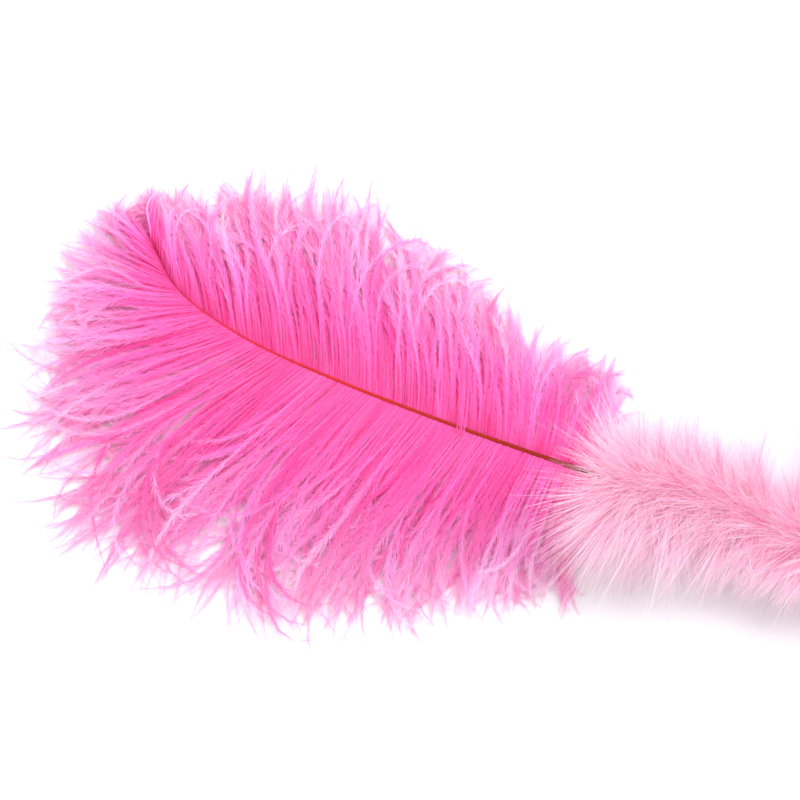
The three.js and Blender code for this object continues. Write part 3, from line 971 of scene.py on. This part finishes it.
def featherFibres(start, end, kind, rng, lean=down["lean"], level=0, most=1.0):
    feathers, each = down["feathers"][kind], down["fibres"][kind]
    feathers = max(int(most * feathers * (end - start) / down["perFeathers"][kind]), 6)
    steps = down["points"][kind]
    distance = start + (end - start) * (np.arange(feathers) + rng.uniform(0, 1, feathers)) / feathers
    around = (np.arange(feathers) * 2.39996 + rng.normal(0, 0.25, feathers)) % (2 * math.pi)
    around = around + (0.4 if kind == "near" else 0) * np.sin(around)
    ahead = core.ahead(distance)
    left, high = uprightFrames(ahead)
    out = np.cos(around)[:, None] * left + np.sin(around)[:, None] * high
    tilt = (rng.uniform(*lean, feathers) - 0.75 * np.clip(out[:, 2], 0, 1))[:, None]
    grown = 1 + rng.normal(0, 0.1, feathers)
    direction = unit(out + tilt * ahead)
    flat = unit(np.cross(direction, ahead))  # across the feather, round the core
    root = core.at(distance) + out * boa["cordRadius"]
    n = feathers * each
    own = np.repeat(np.arange(feathers), each)
    v = np.tile((np.arange(each) + 0.5) / each, feathers)
    side = np.where(np.arange(n) % 2, 1.0, -1.0)
    leave = np.radians(np.interp(v, *down["leave"]) + rng.normal(0, 8, n)) * side
    spin = rng.normal(0, 0.6, feathers)[own] + rng.normal(0, 0.2, n)
    across = np.cos(spin)[:, None] * flat[own] + np.sin(spin)[:, None] * unit(ahead[own])
    start3 = root[own] + direction[own] * (v * down["rachis"][kind])[:, None]
    heading = np.cos(leave)[:, None] * direction[own] + np.sin(leave)[:, None] * across
    # a few fibres are made a little longer and painted pale: painted highlights among the down
    longPaintedHighlight = rng.uniform(0, 1, n) < down["longPaintedHighlight"]
    length = down["fibre"][kind] * (1 + 0.12 * longPaintedHighlight) * grown[own]
    length = length * (1 + rng.normal(0, down["fibreSpread"], n)) * np.interp(v, [0, 1], [1.05, 0.9])
    if start < down["headReach"]:
        lower = np.clip(-out[own][:, 1], 0, 1)
        place = root[own][:, 0] / mm
        length = length * (np.interp(place, *down["narrowing"]) + np.interp(place, *down["drape"]) * lower)
    length = np.clip(length, 10 * mm, None)
    u = np.linspace(0, 1, steps)
    line = np.zeros((n, steps, 3))
    line[:, 0] = start3
    wave = rng.uniform(0, 2 * math.pi, n)
    swing = rng.normal(0, 0.22, n)
    floorZ = level * coilLevel + 0.6 * mm
    for k in range(1, steps):
        bend = swing * np.sin(wave + 4.5 * u[k]) * 1.1
        pull = down["droop"] * u[k] * np.clip(1 - 0.5 * out[own][:, 2], 0.35, 1)
        heading = unit(heading + (bend / steps * 3)[:, None] * across - (pull / steps * 1.6)[:, None] * up)
        line[:, k] = line[:, k - 1] + heading * (length / (steps - 1))[:, None]
        over = np.clip(line[:, k, 2] - root[own][:, 2] - down["rise"], 0, None)
        line[:, k, 2] -= over - 9 * mm * np.tanh(over / (9 * mm))
        low = line[:, k, 2] < floorZ
        line[low, k, 2] = floorZ + rng.uniform(0, 1.5, low.sum()) * mm
    # the highlight fibres' tone is raised towards white, a painted highlight
    tone = np.clip(0.5 + rng.normal(0, 0.24, feathers)[own] + rng.normal(0, 0.2, n) + 0.6 * longPaintedHighlight, 0, 1)
    return line, tone, longPaintedHighlight


def buildFluff(name, pieces, kind, rng):
    line = np.concatenate([p[0] for p in pieces])
    tone = np.concatenate([p[1] for p in pieces])
    longPaintedHighlight = np.concatenate([p[2] for p in pieces])
    u = np.linspace(0, 1, line.shape[1])
    attributes = {
        "taper": np.interp(u, [0, 0.5, 1], [1, 0.8, 0.25]),
        "twist": rng.uniform(-1.3, 1.3, len(line))[:, None],
        "tone": tone[:, None],
        # the highlight fibres' shade is pushed to the pale end of the ramp, a painted highlight
        "shade": np.clip(0.08 + 0.9 * u + (0.45 * longPaintedHighlight + rng.normal(0, 0.06, len(line)))[:, None], 0, 1),
    }
    guide = guideObject(name + "Guides", line, attributes)
    fluff = grow(guide, fibres, name, {"Width": down["width"][kind], "Finish": downFinish})
    return fluff


def buildMarabou():
    rng = np.random.default_rng(down["seed"])
    headBend = boa["headLength"]
    headFirst = plume["lashingRadius"] + 2 * mm
    headEnds = np.linspace(headFirst, headBend - bendHalfGap, 3)
    boaEnds = np.linspace(headBend + bendHalfGap, tailBend - bendHalfGap, 22)
    tailEnds = np.linspace(tailBend + bendHalfGap, boa["length"] - 2 * boa["knotRadius"] - 4 * mm, 3)
    number, faces = 0, 0
    for body, ends, kind in (("head", headEnds, "near"), ("boa", boaEnds, "far"), ("tail", tailEnds, "far")):
        for i in range(len(ends) - 1):
            number += 1
            level = 1 if core.at((ends[i] + ends[i + 1]) / 2)[2] > coreHeight + 0.95 * coilLevel else 0
            made = [featherFibres(ends[i], ends[i + 1], kind, rng, level=level)]
            if number == 1:
                nose = down["nose"]
                first, last = headFirst + nose["reach"][0], headFirst + nose["reach"][1]
                made.append(featherFibres(first, last, kind, rng, nose["lean"], most=nose["most"]))
            fluff = buildFluff(f"marabou_fluff_{number:02d}", made, kind, rng)
            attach(fluff, body)
            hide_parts(f"marabou_cluster_{number:02d}")
            faces += len(fluff.data.polygons)
    for name, bodies, place, ahead, bend, level in (
        ("head_bend_fluff", ("head", "boa"), headBendPlace, headBendAhead, headBend, 0),
        ("tail_bend_fluff", ("boa", "tail"), tailBendPlace, tailBendAhead, tailBend, 1),
    ):
        made = [featherFibres(bend - bendHalfGap, bend + bendHalfGap, "far", rng, level=level)]
        fluff = buildFluff(name, made, "far", rng)
        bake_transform(fluff, *bodies, place - bendHalfGap * ahead, place + bendHalfGap * ahead)
    print("marabou:", faces, "faces")


buildMarabou()
